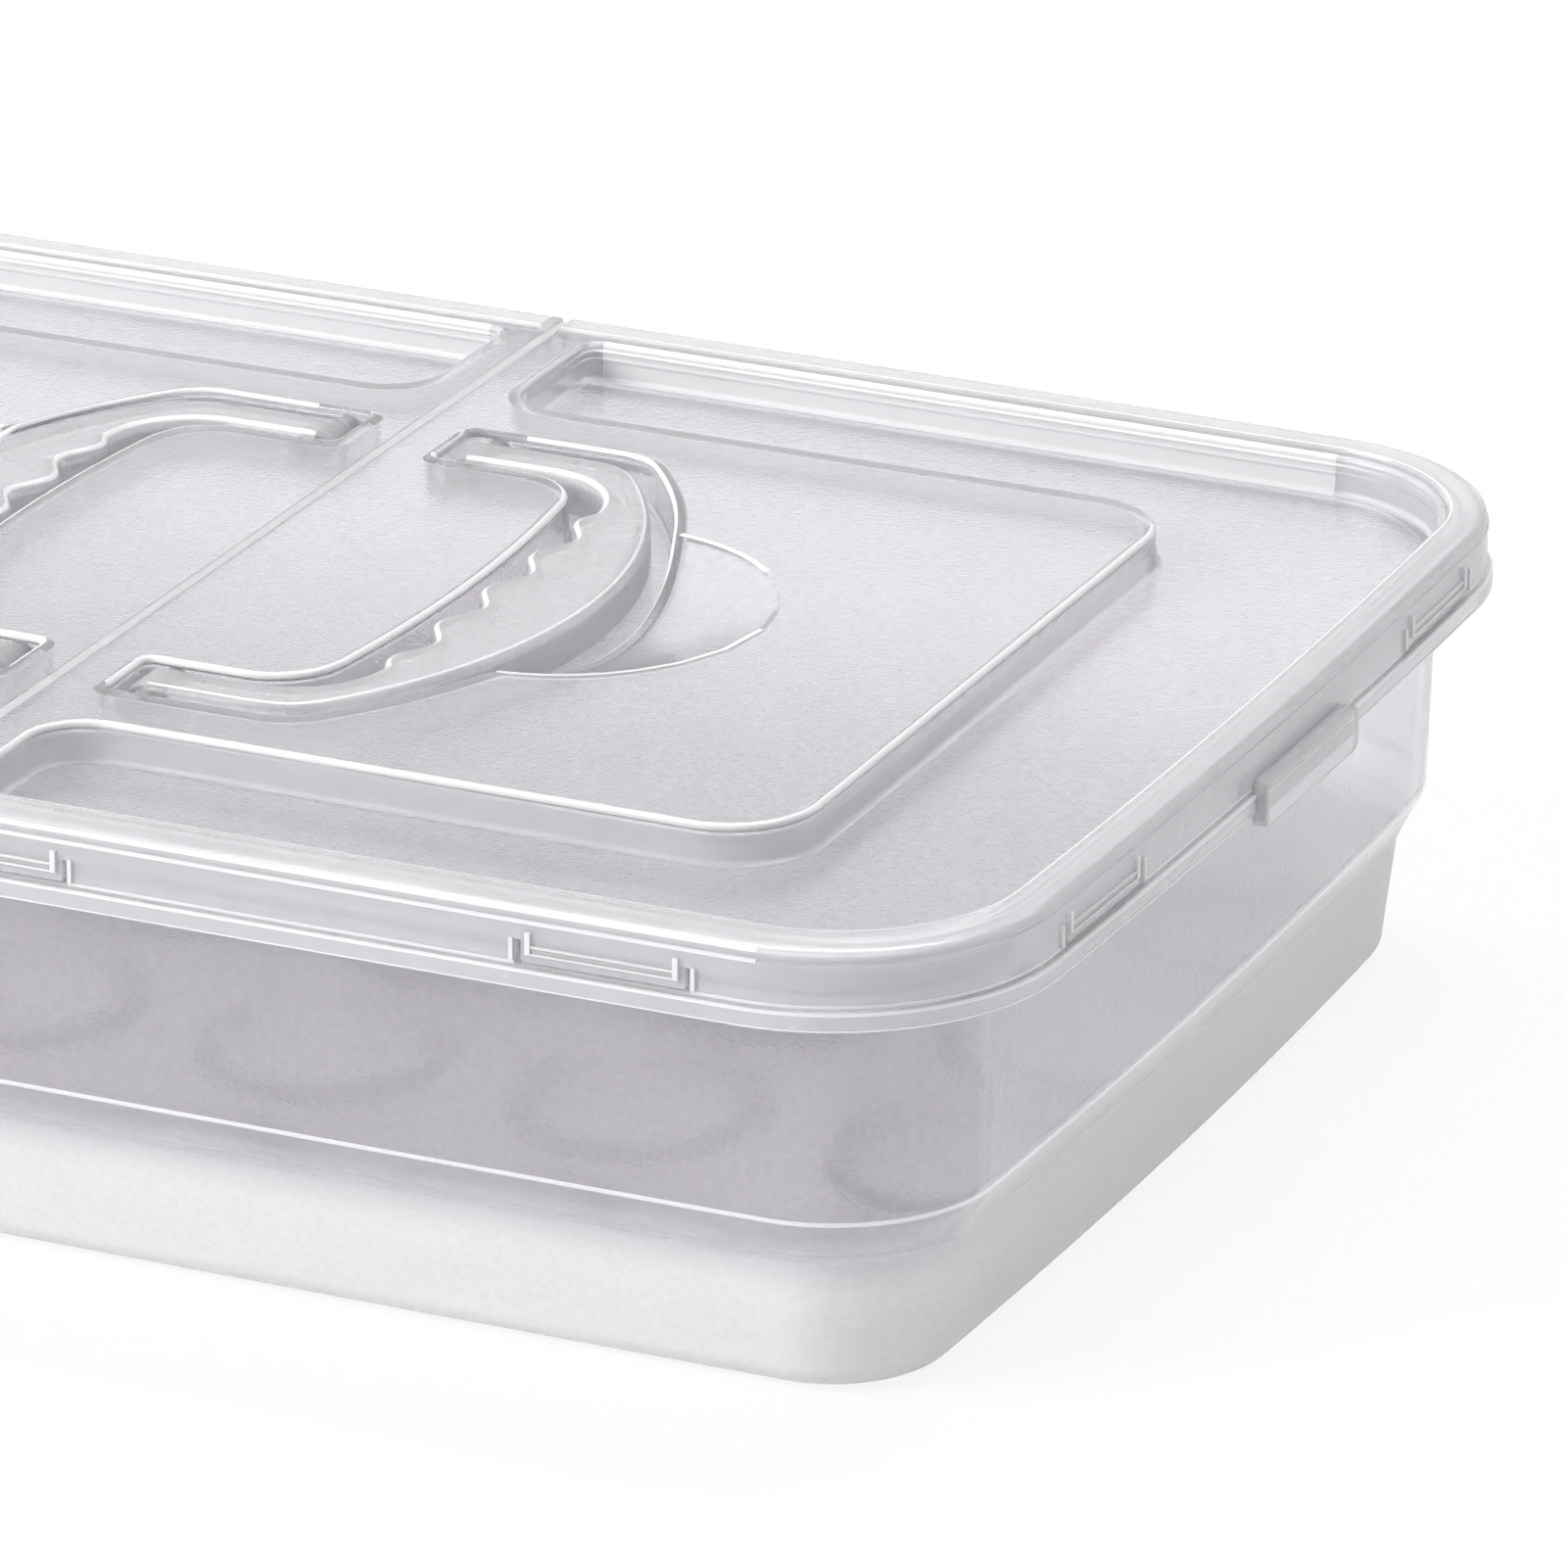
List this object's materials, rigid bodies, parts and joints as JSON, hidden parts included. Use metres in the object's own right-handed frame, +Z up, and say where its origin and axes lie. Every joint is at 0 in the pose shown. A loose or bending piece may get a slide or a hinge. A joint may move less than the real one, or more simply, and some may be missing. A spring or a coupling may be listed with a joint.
{
  "type": "egg keeper with flip lid",
  "caption": "Low rectangular egg box in clear plastic: a tub with a seat tray and a two-half lid that folds open along its middle, with fold-flat handles.",
  "frame": {"origin": "middle of the base, on the surface it stands on", "axes": "+X along the length towards the right half of the lid, +Y towards the back, +Z up; the lid hinge runs along Y at x = 0"},
  "size_m": [0.343, 0.23, 0.074],
  "materials": {
    "tub_plastic": "frosted translucent",
    "lid_plastic": "clear, fine grain",
    "handle_plastic": "clear, polished",
    "tray_plastic": "frosted translucent"
  },
  "bodies": {
    "base": {"tub": "tub_plastic", "egg_tray": "tray_plastic"},
    "lid": {"hinge_strip": "lid_plastic"},
    "right_half": {"right_flap": "lid_plastic"},
    "left_half": {"left_flap": "lid_plastic"},
    "right_grip": {"right_handle": "handle_plastic"},
    "left_grip": {"left_handle": "handle_plastic"}
  },
  "joints": [
    {"name": "lid_lift", "type": "slide", "parent": "base", "child": "lid", "axis": [0, 0, 1], "range_m": [0, 0.06]},
    {"name": "right_flap_hinge", "type": "hinge", "parent": "lid", "child": "right_half", "pos_m": [0, 0, 0.0725], "axis": [0, -1, 0], "range_deg": [0, 90]},
    {"name": "left_flap_hinge", "type": "hinge", "parent": "lid", "child": "left_half", "pos_m": [0, 0, 0.0725], "axis": [0, -1, 0], "range_deg": [-90, 0]},
    {"name": "right_handle_pivot", "type": "hinge", "parent": "right_half", "child": "right_grip", "pos_m": [0.013, 0, 0.0695], "axis": [0, -1, 0], "range_deg": [0, 90]},
    {"name": "left_handle_pivot", "type": "hinge", "parent": "left_half", "child": "left_grip", "pos_m": [-0.013, 0, 0.0695], "axis": [0, -1, 0], "range_deg": [-90, 0]}
  ]
}
